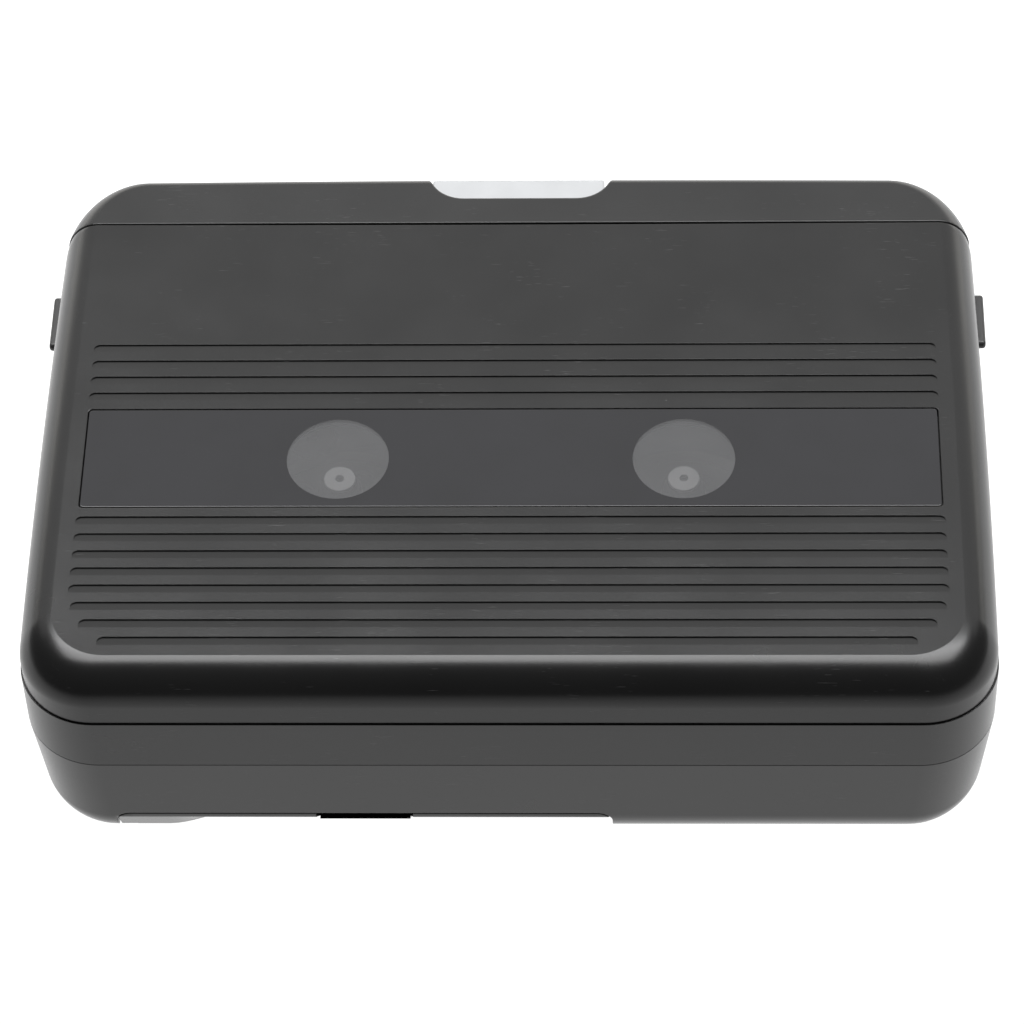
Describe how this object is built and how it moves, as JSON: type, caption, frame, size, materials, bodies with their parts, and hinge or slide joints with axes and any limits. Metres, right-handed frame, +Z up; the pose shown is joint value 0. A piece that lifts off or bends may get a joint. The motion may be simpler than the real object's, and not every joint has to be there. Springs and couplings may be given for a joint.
{
  "type": "portable cassette player",
  "caption": "Flat black portable compact-cassette player with a full-width grooved lid, two round reel windows, side lid buttons, rear keys and a sliding battery cover.",
  "frame": {"origin": "centre of the bounding box's footprint, on the surface that the player lies on", "axes": "+X to the right, +Y towards the key side, +Z up out of the lid"},
  "size_m": [0.119, 0.0834, 0.0314],
  "materials": {
    "case_plastic": "fine grained satin black",
    "window_acrylic": "polished, black backed, two clear windows",
    "silver_plastic": "satin silver paint",
    "dark_plastic": "moulded",
    "grey_plastic": "moulded acetal",
    "steel": "plated sheet",
    "brass": "turned",
    "rubber": "ground",
    "circuit_board": "laminate with solder mask"
  },
  "bodies": {
    "case": {"base_shell": "case_plastic", "mid_frame": "case_plastic", "door_hinge_pin_left": "steel", "door_hinge_pin_right": "steel", "key_guide_rod": "steel", "deck_plate": "steel", "capstan_bearing": "brass", "flywheel_bracket": "steel", "supply_shaft": "steel", "takeup_shaft": "steel", "idler_shaft": "steel", "motor": "steel", "drive_belt": "rubber", "circuit_board": "circuit_board", "amplifier_chip": "dark_plastic", "capacitor_1": "dark_plastic", "capacitor_2": "dark_plastic", "volume_pot": "dark_plastic", "headphone_jack": "dark_plastic", "dc_jack": "dark_plastic", "power_switch": "dark_plastic", "battery_bridge_contact": "steel", "battery_terminal_plus": "steel", "battery_terminal_minus": "steel", "battery_spring_front": "steel", "battery_spring_rear": "steel", "case_screw_1": "steel", "case_screw_2": "steel", "case_screw_3": "steel", "case_screw_4": "steel", "pinch_arm_pivot": "steel"},
    "lid": {"door": "case_plastic", "door_window": "window_acrylic", "cassette_holder": "dark_plastic", "cassette_spring_left": "steel", "cassette_spring_right": "steel"},
    "battery_cover": {"battery_door": "case_plastic"},
    "release_left": {"release_button_left": "dark_plastic"},
    "release_right": {"release_button_right": "dark_plastic"},
    "play": {"play_key": "silver_plastic"},
    "stop": {"stop_key": "dark_plastic"},
    "fast_forward": {"fast_forward_key": "dark_plastic"},
    "rewind": {"rewind_key": "dark_plastic"},
    "head_carriage": {"head_plate": "steel", "playback_head": "steel", "head_screw_left": "brass", "head_screw_right": "brass"},
    "pinch_arm": {"pinch_roller_arm": "steel", "pinch_roller_pin": "steel"},
    "pinch_wheel": {"pinch_roller": "rubber"},
    "capstan": {"capstan_shaft": "steel", "flywheel": "brass"},
    "idler": {"idler_gear": "grey_plastic"},
    "rotor": {"motor_shaft": "steel", "motor_pulley": "brass"},
    "takeup_reel": {"takeup_reel_table": "grey_plastic", "takeup_spindle": "grey_plastic"},
    "supply_reel": {"supply_reel_table": "grey_plastic", "supply_spindle": "grey_plastic"},
    "volume": {"volume_wheel": "dark_plastic"}
  },
  "joints": [
    {"name": "lid_hinge", "type": "hinge", "parent": "case", "child": "lid", "pos_m": [0, -0.04005, 0.02676], "axis": [1, 0, 0], "range_deg": [0, 70]},
    {"name": "battery_cover_slide", "type": "slide", "parent": "case", "child": "battery_cover", "axis": [0, -1, 0], "range_m": [0, 0.033]},
    {"name": "release_left_press", "type": "slide", "parent": "case", "child": "release_left", "axis": [1, 0, 0], "range_m": [0, 0.0008], "stiffness_N_per_m": 500, "springref_m": -0.002},
    {"name": "release_right_press", "type": "slide", "parent": "case", "child": "release_right", "axis": [-1, 0, 0], "range_m": [0, 0.0008], "stiffness_N_per_m": 500, "springref_m": -0.002},
    {"name": "head_carriage_slide", "type": "slide", "parent": "case", "child": "head_carriage", "axis": [0, -1, 0], "range_m": [0, 0.0026], "stiffness_N_per_m": 400, "springref_m": -0.004},
    {"name": "play_key_press", "type": "slide", "parent": "case", "child": "play", "axis": [0, -1, 0], "range_m": [0, 0.0026]},
    {"name": "stop_key_press", "type": "slide", "parent": "case", "child": "stop", "axis": [0, -1, 0], "range_m": [0, 0.0025], "stiffness_N_per_m": 300, "springref_m": -0.004},
    {"name": "fast_forward_key_press", "type": "slide", "parent": "case", "child": "fast_forward", "axis": [0, -1, 0], "range_m": [0, 0.0025], "stiffness_N_per_m": 300, "springref_m": -0.004},
    {"name": "rewind_key_press", "type": "slide", "parent": "case", "child": "rewind", "axis": [0, -1, 0], "range_m": [0, 0.0025], "stiffness_N_per_m": 300, "springref_m": -0.004},
    {"name": "pinch_arm_swing", "type": "hinge", "parent": "case", "child": "pinch_arm", "pos_m": [-0.0445, 0.03305, 0.0189], "axis": [0, 0, 1], "range_deg": [-26, 0]},
    {"name": "pinch_roller_spin", "type": "hinge", "parent": "pinch_arm", "child": "pinch_wheel", "pos_m": [-0.0303, 0.03305, 0.0233], "axis": [0, 0, 1], "continuous": true},
    {"name": "capstan_spin", "type": "hinge", "parent": "case", "child": "capstan", "pos_m": [-0.0305, 0.02165, 0.012], "axis": [0, 0, 1], "continuous": true},
    {"name": "motor_spin", "type": "hinge", "parent": "case", "child": "rotor", "pos_m": [0.036, 0.02015, 0.012], "axis": [0, 0, 1], "continuous": true},
    {"name": "idler_spin", "type": "hinge", "parent": "case", "child": "idler", "pos_m": [-0.02597, 0.0077, 0.015], "axis": [0, 0, 1], "continuous": true},
    {"name": "takeup_reel_spin", "type": "hinge", "parent": "case", "child": "takeup_reel", "pos_m": [-0.02125, -0.00685, 0.02], "axis": [0, 0, 1], "continuous": true},
    {"name": "supply_reel_spin", "type": "hinge", "parent": "case", "child": "supply_reel", "pos_m": [0.02125, -0.00685, 0.02], "axis": [0, 0, 1], "continuous": true},
    {"name": "volume_turn", "type": "hinge", "parent": "case", "child": "volume", "pos_m": [0.0516, -0.00065, 0.0122], "axis": [0, 0, 1], "range_deg": [-135, 135]}
  ],
  "couplings": [
    {"joint": "play_key_press", "follows": "head_carriage_slide", "ratio": 1},
    {"joint": "pinch_arm_swing", "follows": "head_carriage_slide", "rad_per_m": -171.85},
    {"joint": "motor_spin", "follows": "capstan_spin", "ratio": 4.9483},
    {"joint": "idler_spin", "follows": "capstan_spin", "ratio": -0.31022},
    {"joint": "takeup_reel_spin", "follows": "capstan_spin", "ratio": 0.07755}
  ]
}
